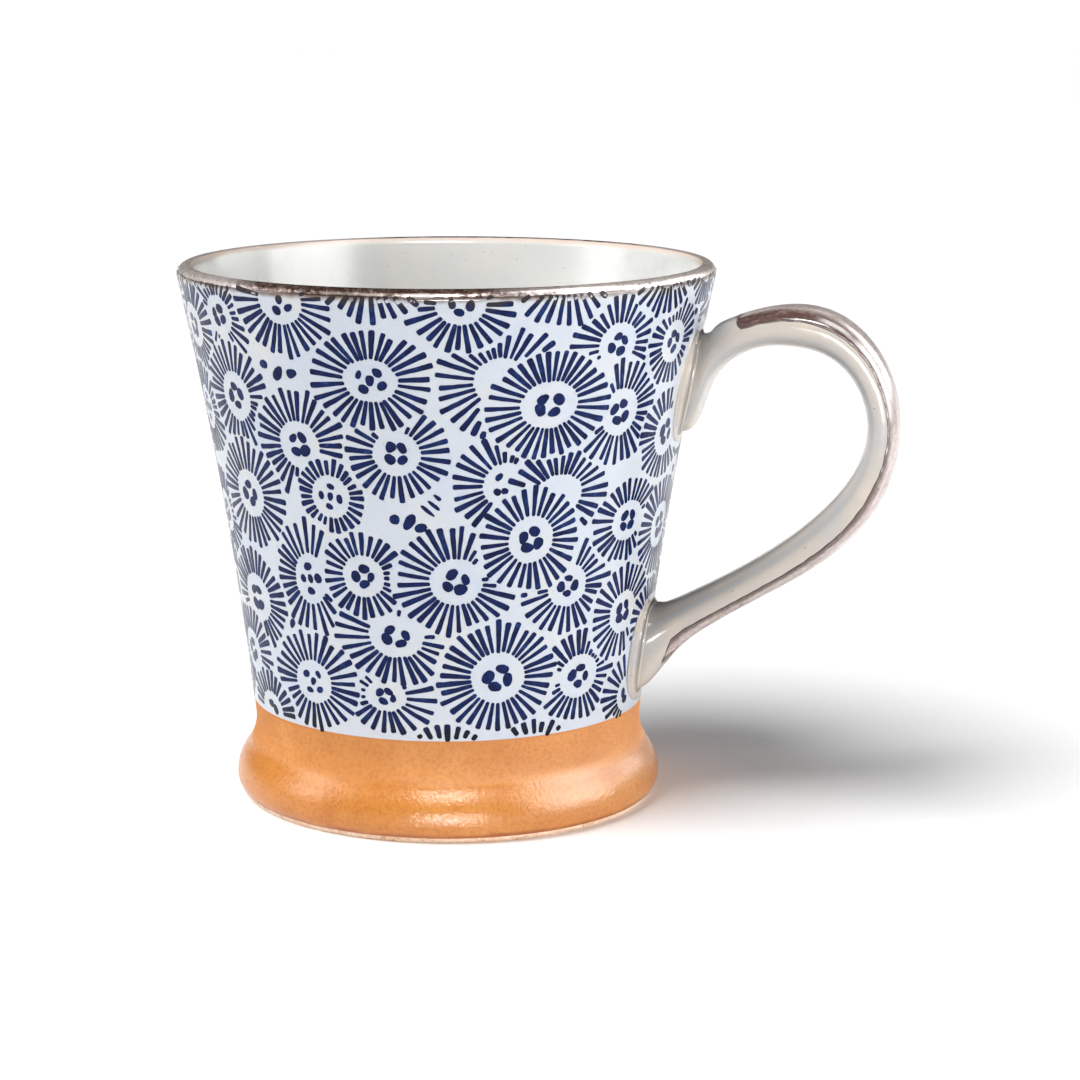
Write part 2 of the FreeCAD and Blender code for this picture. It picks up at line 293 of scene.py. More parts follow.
# Handle, as in the CAD, in millimetres: outer (x, z), inner (x, z) and width of each rib
HANDLE_RIBS = [
    ((46.2, 84.2), (44.2, 67.5), 12.3), ((48.3, 85.7), (47.5, 75.1), 12.4),
    ((52.0, 87.5), (53.0, 81.0), 12.7), ((60.6, 89.5), (60.4, 82.7), 13.0),
    ((69.6, 87.9), (67.2, 81.4), 12.8), ((77.0, 80.8), (72.4, 77.0), 12.5),
    ((80.3, 69.9), (74.9, 69.6), 12.3), ((78.3, 58.0), (73.1, 61.6), 12.3),
    ((72.8, 49.6), (68.7, 55.3), 12.5), ((60.0, 40.0), (57.0, 45.4), 12.8),
    ((47.8, 32.5), (44.7, 38.2), 13.5), ((41.0, 26.2), (39.7, 35.8), 14.5),
    ((36.4, 20.8), (38.0, 35.7), 15.5),
]
HANDLE_ROOT_DEPTH = 3.6
HANDLE_SQUARENESS = 2.7
HANDLE_STATIONS = 260
HANDLE_CORNERS = 72
SECTION_EVENING = 0.14  # evens out the points of a squarish section
COLLAR_HEIGHT = 1.75 * MM  # over the handle, at the wall
COLLAR_REACH = 1.3 * MM  # out from the wall, at the handle's flanks
COLLAR_THIN_SHARE = 0.35  # of that reach, over and under the handle
COLLAR_BEAD = 0.12 * MM
COLLAR_ROOT = 0.5 * MM  # how far a collar runs into the wall
COLLAR_SEARCH_RIBS = (3, 9)  # ribs that are well clear of the wall
COLLAR_SEARCH_STEPS = 34
COLLAR_LANES = 96
COLLAR_FILLET_STEPS = 9
COLLAR_FILLET_REACH = 0.92
# Past the fillet: distance from the wall in reaches, and height over the handle in beads
COLLAR_BEAD_PROFILE = [(1.04, 0.95), (1.14, 0.75), (1.24, 0.40), (1.32, 0.0), (1.34, -2.0)]

# Brushed stroke: angles in degrees from the handle's outer side, shares of its length, millimetres
STRIPE_RIBS = (2, 11)
STRIPE_LIFT = 0.08 * MM
STRIPE_STATIONS = 420
STRIPE_LANES = 14
STRIPE_NEAR_ANGLE = -74.0  # edge over the near shoulder, at the arch
STRIPE_NEAR_SWING = 5
STRIPE_NEAR_SEED = 3.1
STRIPE_LOW_TURN = -4.0  # how much further it wraps on the lower part
STRIPE_LOW_START = 0.4
STRIPE_LOW_RUN = 0.3
STRIPE_FAR_ANGLE = 24.0
STRIPE_FAR_SWING = 10
STRIPE_FAR_SEED = 9.7
STRIPE_TAPERS = (0.012, 0.02)  # where its two ends are rounded off
STRIPE_END_WIDTH = 0.25
STRIPE_RAGGED = 2.2  # how uneven its two ends are
STRIPE_RAGGED_RUNS = (0.06, 0.04)
STRIPE_RAGGED_PITCH = 4.3
STRIPE_RAGGED_SEED = 2.6
STRIPE_COARSE = 0.09  # waves per millimetre of its edges
STRIPE_FINE = 0.55
STRIPE_FINE_SHARE = 0.45
STRIPE_FINE_SEED = 7
BRUSH_LENGTH = 10  # of the stroke, in the brush's own coordinates
BRUSH_END_SCALE = 12


def rgb(red, green, blue):
    """Linear colour for an sRGB one from 0 to 255."""
    shares = [value / 255 for value in (red, green, blue)]
    return tuple(s / 12.92 if s <= 0.04045 else ((s + 0.055) / 1.055) ** 2.4 for s in shares) + (1.0,)


# Materials

def new_material(name):
    """A material, its node tree and its Principled shader."""
    material = bpy.data.materials.new(name)
    material.use_nodes = True
    tree = material.node_tree
    return material, tree, tree.nodes["Principled BSDF"]


def feed(tree, socket, value):
    """Number, colour or link for a socket."""
    if isinstance(value, bpy.types.NodeSocket):
        tree.links.new(value, socket)
    else:
        socket.default_value = value


def feed_all(tree, item, **values):
    """Numbers, colours or links for a node's sockets, by their names."""
    for name, value in values.items():
        feed(tree, item.inputs[name.replace("_", " ")], value)


def add(tree, kind, settings=(), **values):
    """A new node with its settings and what its sockets get."""
    item = tree.nodes.new("ShaderNode" + kind)
    for name, value in dict(settings).items():
        setattr(item, name, value)
    feed_all(tree, item, **values)
    return item


def object_place(tree):
    """Object coordinates in metres."""
    return add(tree, "TexCoord").outputs["Object"]


def axis(tree, place, name):
    """One coordinate of a place: X, Y or Z."""
    return add(tree, "SeparateXYZ", Vector=place).outputs[name]


def scaled(tree, place, factors):
    """A place with each coordinate times its own factor."""
    item = add(tree, "VectorMath", {"operation": "MULTIPLY"})
    feed(tree, item.inputs[0], place)
    feed(tree, item.inputs[1], factors)
    return item.outputs["Vector"]


def axis_distance(tree, place):
    """Distance from the cup's axis."""
    item = add(tree, "VectorMath", {"operation": "LENGTH"})
    feed(tree, item.inputs[0], scaled(tree, place, (1, 1, 0)))
    return item.outputs["Value"]


def cloud(tree, place, grain):
    """Noise over a place, from 0 to 1."""
    scale, detail, roughness = grain
    item = add(tree, "TexNoise", Vector=place, Scale=scale, Detail=detail, Roughness=roughness)
    return item.outputs["Fac"]


def ramp(tree, factor, stops):
    """Colour ramp with smooth steps between its stops."""
    item = add(tree, "ValToRGB", Fac=factor)
    item.color_ramp.interpolation = "EASE"
    points = item.color_ramp.elements
    while len(points) < len(stops):
        points.new(stops[len(points)][0])
    for point, (position, colour) in zip(points, stops):
        point.position = position
        point.color = rgb(*colour)
    return item.outputs["Color"]


def level(tree, value, start, end, first, last):
    """First below start, last past end, and a straight line between them."""
    item = add(tree, "MapRange", Value=value, From_Min=start, From_Max=end, To_Min=first, To_Max=last)
    return item.outputs["Result"]


def window(tree, value, none, full):
    """0 at none, 1 at full, smooth between them and level beyond."""
    smooth = {"interpolation_type": "SMOOTHSTEP"}
    return add(tree, "MapRange", smooth, Value=value, From_Min=none, From_Max=full).outputs["Result"]


def past(tree, value, edge, span):
    """How much of something shows where it spans distances past an edge."""
    return window(tree, value, edge + span[0], edge + span[1])


def calculate(tree, operation, first, second=0.0):
    """Math node of two values, each a number or a socket."""
    item = add(tree, "Math", {"operation": operation})
    for socket, value in zip(item.inputs, (first, second)):
        feed(tree, socket, value)
    return item.outputs["Value"]


def times(tree, first, second):
    """Product of two values."""
    return calculate(tree, "MULTIPLY", first, second)


def uneven(tree, place, value, ragged):
    """A value with noise on it, so that an edge drawn from it is ragged."""
    grain, depth = ragged
    return calculate(tree, "ADD", value, times(tree, cloud(tree, place, grain), depth))


def mix(tree, factor, first, second):
    """Mix of two colours, each a colour or a socket: the Mix node's inputs 6 and 7, and its output 2."""
    item = add(tree, "Mix", {"data_type": "RGBA"}, Factor=factor)
    for socket, value in zip((item.inputs[6], item.inputs[7]), (first, second)):
        feed(tree, socket, rgb(*value) if isinstance(value, tuple) else value)
    return item.outputs[2]


def bump(tree, shader, height, distance):
    """Relief of the given height under the shader."""
    item = add(tree, "Bump", Strength=1.0, Distance=distance, Height=height)
    feed_all(tree, shader, Normal=item.outputs["Normal"])


def speckled(tree, place, ground, specks):
    """A ground with small round specks of another colour on it."""
    colour, scale, size = specks
    cells = add(tree, "TexVoronoi", Vector=place, Scale=scale)
    near = calculate(tree, "LESS_THAN", cells.outputs["Distance"], size)
    pick = add(tree, "SeparateColor", Color=cells.outputs["Color"])
    some = calculate(tree, "GREATER_THAN", pick.outputs["Red"], SPECK_FREE)
    return mix(tree, times(tree, near, some), ground, colour)


def glaze(name, tones, specks, tint, roughness=GLAZE_ROUGHNESS):
    """Clear glossy glaze over a softly clouded ground with fine specks. Tint gives the finished colour
    for a tree, a place and that ground."""
    material, tree, shader = new_material(name)
    place = object_place(tree)
    ground = ramp(tree, cloud(tree, place, GLAZE_CLOUDS), list(zip(CLOUD_STOPS, tones)))
    spotted = speckled(tree, place, ground, specks)
    feed_all(tree, shader, Base_Color=tint(tree, place, spotted), Roughness=roughness, IOR=GLAZE_IOR)
    bump(tree, shader, cloud(tree, place, GLAZE_RIPPLE_GRAIN), GLAZE_RIPPLE)
    return material


def wall_tint(tree, place, ground):
    """Oxide bleeding down the wall from the rim."""
    edge = uneven(tree, place, axis(tree, place, "Z"), WALL_RAGGED)
    return mix(tree, past(tree, edge, RIM_BAND_Z, WALL_BLEED_SPAN), ground, WALL_BLEED)


def liner_tint(tree, place, ground):
    """Peach where the lip's oxide has run into the glaze inside."""
    edge = uneven(tree, place, axis(tree, place, "Z"), LINER_RAGGED)
    return mix(tree, past(tree, edge, LINER_TOP_Z, LINER_TINT_SPAN), ground, LINER_TINT)


def handle_shade_tint(tree, place, ground):
    """Painted shade: a cool grey band near the handle's inner edges, where its inner chamfer turns from
    the light, by the mesh's own turn round it.
    """
    turn = add(tree, "Attribute", {"attribute_name": "turn"}).outputs["Fac"]
    begun = window(tree, turn, *HANDLE_PAINTED_SHADE_START)
    unfinished = window(tree, turn, *HANDLE_PAINTED_SHADE_END)
    painted_shade = times(tree, times(tree, begun, unfinished), HANDLE_PAINTED_SHADE_SHARE)
    return mix(tree, painted_shade, ground, HANDLE_PAINTED_SHADE)


def fired_clay():
    """Bare buff clay with a fine grain."""
    material, tree, shader = new_material("fired_clay")
    grain = cloud(tree, object_place(tree), CLAY_GRAIN)
    feed_all(tree, shader, Base_Color=ramp(tree, grain, CLAY_RAMP), Roughness=CLAY_ROUGHNESS)
    bump(tree, shader, grain, CLAY_BUMP)
    return material


def cobalt_print():
    """Navy under the glaze, worn to denim in places, nearly black beside the amber and the oxide."""
    material, tree, shader = new_material("cobalt_print")
    place = object_place(tree)
    blue = ramp(tree, cloud(tree, place, COBALT_GRAIN), COBALT_RAMP)
    edge = uneven(tree, place, axis(tree, place, "Z"), COBALT_RAGGED)
    low = past(tree, edge, GLAZE_LINE_Z, COBALT_BY_AMBER_SPAN)
    high = past(tree, edge, RIM_BAND_Z, COBALT_BY_OXIDE_SPAN)
    colour = mix(tree, high, mix(tree, low, blue, COBALT_BY_AMBER), COBALT_BY_OXIDE)
    feed_all(tree, shader, Base_Color=colour, Roughness=GLAZE_ROUGHNESS, IOR=COBALT_IOR)
    bump(tree, shader, cloud(tree, place, GLAZE_RIPPLE_GRAIN), GLAZE_RIPPLE)
    return material


def amber_glaze():
    """Satin amber glaze: glossier on the bulge of the foot, darker just above the bare edge."""
    material, tree, shader = new_material("amber_glaze")
    place = object_place(tree)
    height = axis(tree, place, "Z")
    colour = ramp(tree, cloud(tree, place, AMBER_CLOUDS), list(zip(CLOUD_STOPS, AMBER_TONES)))
    grain = cloud(tree, place, AMBER_GRAIN)
    dark = times(tree, window(tree, grain, *AMBER_GRAIN_WINDOW), AMBER_GRAIN_SHARE)
    colour = mix(tree, dark, colour, AMBER_DARK)
    edge = uneven(tree, place, height, AMBER_RAGGED)
    colour = mix(tree, past(tree, edge, BARE_EDGE_Z, AMBER_FOOT_SPAN), colour, AMBER_FOOT)
    colour = mix(tree, past(tree, edge, GLAZE_LINE_Z, AMBER_LINE_SPAN), colour, AMBER_LINE)
    colour = speckled(tree, place, colour, AMBER_SPECKS)
    roughness = level(tree, height, BULGE_TOP_Z, BULGE_TOP_Z + AMBER_ROUGHNESS_RUN,
                      AMBER_BULGE_ROUGHNESS, AMBER_WAIST_ROUGHNESS)
    feed_all(tree, shader, Base_Color=colour, Roughness=roughness, IOR=GLAZE_IOR)
    bump(tree, shader, grain, AMBER_BUMP)
    return material


def rim_oxide():
    """Iron oxide over the lip: lustrous brown, greyer towards +X and -X, with dark edging at its crest and
    its lower edge, a painted highlight (a pale streak) between them, and worn to pale pink inside the
    crest."""
    material, tree, shader = new_material("rim_oxide")
    place = object_place(tree)
    mottle = cloud(tree, place, RIM_MOTTLE)
    sideways = calculate(tree, "ABSOLUTE", axis(tree, place, "X"))
    aside = window(tree, uneven(tree, place, sideways, RIM_PATCHES), *RIM_ASIDE)
    colour = mix(tree, aside, ramp(tree, mottle, RIM_BROWN), ramp(tree, mottle, RIM_GREY))

    outward = uneven(tree, place, axis_distance(tree, place), RIM_RAGGED)
    crest = past(tree, outward, LIP_CREST_RADIUS, RIM_EDGING_SPAN)
    edging = mix(tree, aside, RIM_EDGING_BROWN, RIM_EDGING_GREY)
    colour = mix(tree, times(tree, crest, RIM_EDGING_SHARE), colour, edging)
    colour = mix(tree, past(tree, outward, LIP_CREST_RADIUS, RIM_WORN_SPAN), colour, RIM_WORN)

    edge = uneven(tree, place, axis(tree, place, "Z"), RIM_RAGGED)
    # Painted highlight: a pale streak round the band between its crest and its lower edge
    started = past(tree, edge, RIM_BAND_Z, RIM_PAINTED_HIGHLIGHT_START)
    unfinished = past(tree, edge, RIM_BAND_Z, RIM_PAINTED_HIGHLIGHT_END)
    patchy = window(tree, cloud(tree, place, RIM_PAINTED_HIGHLIGHT_GRAIN), *RIM_PAINTED_HIGHLIGHT_WINDOW)
    painted_highlight = times(tree, times(tree, started, unfinished), patchy)
    colour = mix(tree, times(tree, painted_highlight, RIM_PAINTED_HIGHLIGHT_SHARE), colour, RIM_PAINTED_HIGHLIGHT)

    body = past(tree, edge, RIM_BAND_Z, RIM_BODY_SPAN)
    colour = mix(tree, body, RIM_LOWER_EDGE, colour)
    metal = times(tree, body, RIM_METAL)
    feed_all(tree, shader, Base_Color=colour, Metallic=metal, Roughness=RIM_ROUGHNESS)
    bump(tree, shader, mottle, RIM_BUMP)
    return material


def handle_oxide():
    """Brushed iron oxide: brown along the near edge and over the arch, thinning to a pinkish-grey wash."""
    material, tree, shader = new_material("handle_oxide")
    brush = add(tree, "Attribute", {"attribute_name": "brush"}).outputs["Vector"]
    streaks = cloud(tree, scaled(tree, brush, BRUSH_STRETCH), BRUSH_STREAKS)
    mottle = cloud(tree, object_place(tree), BRUSH_MOTTLE)
    mixed = calculate(tree, "ADD", times(tree, streaks, BRUSH_STREAK_SHARE),
                      times(tree, mottle, 1 - BRUSH_STREAK_SHARE))
    heavy_width = level(tree, axis(tree, brush, "X"), *BRUSH_HEAVY_RUN, *BRUSH_HEAVY_WIDTHS)
    beyond = calculate(tree, "SUBTRACT", axis(tree, brush, "Y"), heavy_width)
    colour = mix(tree, window(tree, beyond, *BRUSH_WASH_WINDOW),
                 ramp(tree, mixed, BRUSH_HEAVY), ramp(tree, mixed, BRUSH_WASH))
    border = window(tree, axis(tree, brush, "Z"), *BRUSH_EDGE_WINDOW)
    colour = mix(tree, border, colour, BRUSH_EDGE)
    feed_all(tree, shader, Base_Color=colour, Roughness=BRUSH_ROUGHNESS, IOR=BRUSH_IOR)
    bump(tree, shader, mottle, BRUSH_BUMP)
    return material


def floor_paper():
    """Matt white paper."""
    material, tree, shader = new_material("studio_floor")
    feed_all(tree, shader, Base_Color=rgb(*FLOOR_COLOUR), Roughness=FLOOR_ROUGHNESS,
             Specular_IOR_Level=FLOOR_SPECULAR)
    return material


def backdrop_paper():
    """White that needs no light."""
    material, tree, shader = new_material("studio_backdrop")
    feed_all(tree, shader, Base_Color=rgb(*BLACK), Emission_Color=rgb(*WHITE), Emission_Strength=1.0)
    return material


# Meshes

def new_object(name, points, faces, material):
    """Mesh object from points in metres."""
    mesh = bpy.data.meshes.new(name)
    mesh.from_pydata([tuple(point) for point in points], [], faces)
    mesh.materials.append(material)
    made = bpy.data.objects.new(name, mesh)
    bpy.context.scene.collection.objects.link(made)
    return made


def new_piece(name, points, faces, material, smooth=True):
    """Mesh object that rides on the mug."""
    piece = new_object(name, points, faces, material)
    piece.data.validate()
    piece.data.polygons.foreach_set("use_smooth", [smooth] * len(piece.data.polygons))
    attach(piece, "root")
    return piece


class Wall:
    """Outer side of a turned CAD node: its radius at a height, straight between the mesh's own rings.
    Only corners on the side away from the handle count, because the handle's roots cut the others."""

    def __init__(self, node):
        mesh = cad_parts[node].data
        corners = set()
        for face in mesh.polygons:
            if face.normal.dot(Vector((face.center.x, face.center.y, 0)).normalized()) > WALL_FACING:
                corners.update(face.vertices)
        spots = [mesh.vertices[index].co for index in corners]
        spots = sorted((spot for spot in spots if spot.x < 0), key=lambda spot: spot.z)
        self.heights = np.array([spot.z for spot in spots])
        self.radii = np.array([math.hypot(spot.x, spot.y) for spot in spots])

    def __call__(self, height):
        return np.interp(height, self.heights, self.radii)

    def slope(self, low, high):
        """Growth of the radius per height between two heights."""
        return (self(high) - self(low)) / (high - low)


class PrintSheet:
    """The flat print and how it rolls up on the wall. Its own coordinates are millimetres:
    x runs along the middle line and y up, with the middle of the front at (0, 0)."""

    def __init__(self, wall):
        lean = math.atan(wall.slope(GLAZE_LINE_Z, 2 * SHEET_MID_Z - GLAZE_LINE_Z))
        self.wall = wall
        self.sine = math.sin(lean)
        self.cosine = math.cos(lean)
        self.mid = wall(SHEET_MID_Z) / MM / self.sine
        self.tile = TILE_WIDTH_TURNS * 2 * math.pi * self.sine
        self.handle_along = -CAMERA_AZIMUTH * self.sine * self.mid
        self.points = []
        self.faces = []

    def flat(self, along, up):
        """Point of the sheet for a distance along and up."""
        reach = self.mid + up
        turn = along / self.mid
        return reach * math.sin(turn), reach * math.cos(turn) - self.mid

    def along_up(self, x, y):
        """Distance along and up for a point of the sheet."""
        return math.atan2(x, y + self.mid) * self.mid, math.hypot(x, y + self.mid) - self.mid

    def blank(self, x, y, copy):
        """Whether the handle's roots keep the print off this point."""
        along, up = self.along_up(x, y)
        offset = along + copy * self.tile * self.mid - self.handle_along
        for middle, wide, tall in HANDLE_BLANKS:
            share = abs(offset / wide) ** BLANK_SQUARENESS + abs((up - middle) / tall) ** BLANK_SQUARENESS
            if share < 1:
                return True
        return False

    def slab(self, pairs, copy):
        """Thin closed strip over the wall between pairs of left and right points."""
        first = len(self.points)
        for left, right in pairs:
            for x, y in (left, right):
                for lift in (PRINT_TOP_LIFT, -PRINT_SINK):
                    self.points.append((x, y, lift, copy))
        count = len(pairs)
        for index in range(count - 1):
            a = first + 4 * index
            b = a + 4
            self.faces.append((a, a + 2, b + 2, b))
            self.faces.append((a + 1, b + 1, b + 3, a + 3))
            self.faces.append((a, b, b + 1, a + 1))
            self.faces.append((a + 2, a + 3, b + 3, b + 2))
        last = first + 4 * (count - 1)
        self.faces.append((first, first + 1, first + 3, first + 2))
        self.faces.append((last, last + 2, last + 3, last + 1))

    def piece(self, name, material):
        """The gathered slabs as one mesh on the wall."""
        rows = np.array(self.points)
        reach = np.hypot(rows[:, 0], rows[:, 1] + self.mid)
        turn = (np.arctan2(rows[:, 0], rows[:, 1] + self.mid) + rows[:, 3] * self.tile) / self.sine
        height = SHEET_MID_Z + (reach - self.mid) * self.cosine * MM
        radius = self.wall(height) + rows[:, 2]
        angle = turn + CAMERA_AZIMUTH
        spots = np.column_stack((radius * np.cos(angle), radius * np.sin(angle), height))
        new_piece(name, spots, self.faces, material, smooth=False)
        self.points = []
        self.faces = []


def side_pair(x, y, ux, uy, half, uneven_range, rng):
    """Left and right points beside a point of a mark that runs along (ux, uy)."""
    left = half * rng.uniform(*uneven_range)
    right = half * rng.uniform(*uneven_range)
    return (x - uy * left, y + ux * left), (x + uy * right, y - ux * right)


def strip(start, end, start_width, end_width, rng):
    """Pairs of side points of a stroke with rounded ends and slightly uneven sides."""
    run = math.hypot(end[0] - start[0], end[1] - start[1])
    ux, uy = (end[0] - start[0]) / run, (end[1] - start[1]) / run
    cap = min(start_width, end_width) / 2
    steps = max(2, round((run - 2 * cap) / STROKE_STEP))
    sides = [cap + (run - 2 * cap) * index / steps for index in range(steps + 1)]
    stops = [0, STROKE_CAP_STOP * cap, *sides, run - STROKE_CAP_STOP * cap, run]
    shares = [*STROKE_CAP_WIDTHS, *[1.0] * len(sides), *reversed(STROKE_CAP_WIDTHS)]
    pairs = []
    for stop, share in zip(stops, shares):
        half = (start_width + (end_width - start_width) * stop / run) / 2 * share
        x, y = start[0] + ux * stop, start[1] + uy * stop
        pairs.append(side_pair(x, y, ux, uy, half, STROKE_UNEVEN, rng))
    return pairs


def blob(x, y, half_long, half_wide, turn, rng):
    """Pairs of side points of a small rounded mark."""
    cosine, sine = math.cos(turn), math.sin(turn)
    power = rng.uniform(*MARK_ROUNDNESS)
    skew = rng.uniform(-MARK_SKEW, MARK_SKEW)
    pairs = []
    for part in MARK_STATIONS:
        half = half_wide * (1 - part * part) ** (power / 2) * (1 + skew * part)
        along = part * half_long
        spot = (x + cosine * along, y + sine * along)
        pairs.append(side_pair(*spot, cosine, sine, half, MARK_UNEVEN, rng))
    return pairs


class Flower:
    """One daisy of the flat print; rank says how far in front it is."""

    def __init__(self, sheet, row, rank):
        along, up, self.wide, self.tall, reach = row
        self.rank = rank
        self.x, self.y = sheet.flat(along, up)
        self.growth = reach * FLOWER_SPREAD / ((self.wide + self.tall) / 2)

    def heart(self, angle):
        """Radius of the blank heart towards an angle."""
        return 1 / math.hypot(math.cos(angle) / self.wide, math.sin(angle) / self.tall)

    def rim(self, angle):
        """Radius of the whole flower towards an angle."""
        return self.heart(angle) * self.growth

    def towards(self, angle, reach):
        """Point at a reach from the flower's middle."""
        return self.x + reach * math.cos(angle), self.y + reach * math.sin(angle)

    def covers(self, x, y, margin):
        """Whether a point lies on the flower or within a margin of it."""
        dx, dy = x - self.x, y - self.y
        return math.hypot(dx, dy) < self.rim(math.atan2(dy, dx)) + margin


def tile_flowers(sheet, shift):
    """The tile's flowers, turned by whole tiles."""
    rows = [(row[0] + shift * sheet.tile * sheet.mid, *row[1:]) for row in FLOWERS]
    return [Flower(sheet, row, rank) for rank, row in enumerate(rows)]


def open_runs(sheet, flower, angle, near, far, in_front, copy, low_limit):
    """Parts of a ray that no flower in front, edge or handle root hides."""
    runs = []
    start = None
    steps = int((far - near) / RAY_STEP)
    for index in range(steps + 1):
        reach = near + index * RAY_STEP
        x, y = flower.towards(angle, reach)
        up = sheet.along_up(x, y)[1]
        hidden = not low_limit < up < PRINT_TOP
        hidden = hidden or any(other.covers(x, y, FLOWER_GAP) for other in in_front)
        hidden = hidden or sheet.blank(x, y, copy)
        if hidden and start is not None:
            runs.append((start, reach - RAY_STEP))
            start = None
        elif not hidden and start is None:
            start = reach
    if start is not None:
        runs.append((start, near + steps * RAY_STEP))
    return [run for run in runs if run[1] - run[0] > RAY_SHORTEST]


def draw_rays(sheet, flower, in_front, copy, rng):
    """Rays round the flower's heart, widening outwards, where nothing hides them."""
    count = round(math.pi * (flower.wide + flower.tall) / RAY_PITCH)
    offset = rng.uniform(0, 1)
    for index in range(count):
        spread = rng.uniform(-RAY_TURN_SPREAD, RAY_TURN_SPREAD)
        angle = 2 * math.pi * (index + offset + spread) / count
        heart = flower.heart(angle)
        length = flower.rim(angle) - heart
        near = heart + rng.uniform(0, RAY_GAP)
        far = heart + length * rng.uniform(*RAY_REACH)
        low_limit = PRINT_BOTTOM - max(0, rng.uniform(-1, 1)) * PRINT_OVERRUN
        slope = (RAY_OUTER_WIDTH - RAY_INNER_WIDTH) / length
        thick = rng.uniform(*RAY_THICKNESS)
        for start, end in open_runs(sheet, flower, angle, near, far, in_front, copy, low_limit):
            ends = [flower.towards(angle, reach) for reach in (start, end)]
            widths = [thick * (RAY_INNER_WIDTH + slope * (reach - near)) for reach in (start, end)]
            sheet.slab(strip(*ends, *widths, rng), copy)


def draw_heart(sheet, flower, in_front, copy, rng):
    """Four or five marks in the flower's heart."""
    ring_share, size, has_middle = rng.choice(HEART_KINDS)
    turn = rng.uniform(0, 2 * math.pi)
    spots = []
    for index in range(HEART_RING_MARKS):
        spread = rng.uniform(-HEART_TURN_SPREAD, HEART_TURN_SPREAD)
        spots.append((ring_share, turn + 2 * math.pi * index / HEART_RING_MARKS + spread))
    if has_middle:
        spots.append((0, 0))
    for share, angle in spots:
        x = flower.x + share * flower.wide * math.cos(angle)
        y = flower.y + share * flower.tall * math.sin(angle)
        half = size * (flower.wide + flower.tall) / 2 * rng.uniform(*MARK_SIZES)
        up = sheet.along_up(x, y)[1]
        shown = PRINT_BOTTOM + half < up < PRINT_TOP - half and not sheet.blank(x, y, copy)
        if shown and not any(other.covers(x, y, half) for other in in_front):
            squash = rng.uniform(*MARK_SQUASH)
            tilt = angle + math.pi / 2 + rng.uniform(-MARK_TILT, MARK_TILT)
            sheet.slab(blob(x, y, half * MARK_LENGTH, half * squash, tilt, rng), copy)


def draw_marks(sheet, flowers, copy, rng):
    """Small marks in the gaps between flowers."""
    for along, up, half_long, half_wide, turn in FILL_MARKS:
        x, y = sheet.flat(along, up)
        taken = any(flower.covers(x, y, half_long * MARK_CLEARANCE) for flower in flowers)
        if not taken and not sheet.blank(x, y, copy):
            sheet.slab(blob(x, y, half_long, half_wide, turn * DEGREE, rng), copy)


def make_print(wall, material):
    """Overlapping daisies round the wall: rays, hearts and fill marks."""
    sheet = PrintSheet(wall)
    rng = random.Random(PRINT_SEED)
    around = [flower for shift in (-1, 0, 1) for flower in tile_flowers(sheet, shift)]
    middle = tile_flowers(sheet, 0)
    sides = ("front", "back")
    for copy, side in enumerate(sides):
        for flower in middle:
            draw_rays(sheet, flower, front_of(flower, around), copy, rng)
        sheet.piece("cobalt_daisy_rays_" + side, material)
    for copy in range(len(sides)):
        for flower in middle:
            draw_heart(sheet, flower, front_of(flower, around), copy, rng)
        draw_marks(sheet, around, copy, rng)
    sheet.piece("cobalt_daisy_hearts", material)


def front_of(flower, flowers):
    """Flowers that are drawn later than this one and close enough to hide some of it."""
    reach = 2 * flower.rim(0) + FLOWER_NEIGHBOUR_GAP
    return [other for other in flowers
            if other.rank > flower.rank and math.hypot(other.x - flower.x, other.y - flower.y) < reach]


# Handle

def natural_spline(knots, rows):
    """Smooth function through rows of numbers at the knots, straight at both ends."""
    knots = np.array(knots)
    rows = np.array(rows)
    steps = np.diff(knots)
    count = len(knots)
    system = np.eye(count)
    right = np.zeros_like(rows)
    slopes = np.diff(rows, axis=0) / steps[:, None]
    for index in range(1, count - 1):
        system[index, index - 1:index + 2] = (
            steps[index - 1], 2 * (steps[index - 1] + steps[index]), steps[index])
        right[index] = 6 * (slopes[index] - slopes[index - 1])
    bends = np.linalg.solve(system, right)

    def at(place):
        index = min(max(int(np.searchsorted(knots, place)) - 1, 0), count - 2)
        step = steps[index]
        back, ahead = knots[index + 1] - place, place - knots[index]
        curve = (bends[index] * back ** 3 + bends[index + 1] * ahead ** 3) / (6 * step)
        start = (rows[index] / step - bends[index] * step / 6) * back
        return curve + start + (rows[index + 1] / step - bends[index + 1] * step / 6) * ahead
    return at


class Handle:
    """The handle's glazed surface: place runs along it in millimetres from inside the wall at the
    upper root, and angle runs round it from the outer side towards +Y."""

    def __init__(self):
        rows = [(*outer, *inner, width) for outer, inner, width in HANDLE_RIBS]
        first, last = [list(row) for row in (rows[0], rows[-1])]
        for end in (first, last):
            end[0] -= HANDLE_ROOT_DEPTH
            end[2] -= HANDLE_ROOT_DEPTH
        rows = [first, *rows, last]
        middles = [((row[0] + row[2]) / 2, (row[1] + row[3]) / 2) for row in rows]
        knots = [0.0]
        for before, after in zip(middles, middles[1:]):
            knots.append(knots[-1] + math.dist(before, after))
        self.knots = knots
        self.length = knots[-1]
        self.shape = natural_spline(knots, rows)

    def at_rib(self, rib):
        """Place of a rib."""
        return self.knots[rib + 1]

    def point(self, place, angle, lift=0.0):
        """Point over the surface, in metres; lift is in metres too."""
        outer_x, outer_z, inner_x, inner_z, width = self.shape(place) * MM
        outer, inner = Vector((outer_x, 0, outer_z)), Vector((inner_x, 0, inner_z))
        across = (outer - inner).normalized()
        half_thick = (outer - inner).length / 2 + lift
        half_wide = width / 2 + lift
        power = 2 / HANDLE_SQUARENESS
        cosine, sine = math.cos(angle), math.sin(angle)
        thick = math.copysign(abs(cosine) ** power, cosine) * half_thick
        wide = math.copysign(abs(sine) ** power, sine) * half_wide
        return (outer + inner) / 2 + across * thick + Vector((0, wide, 0))


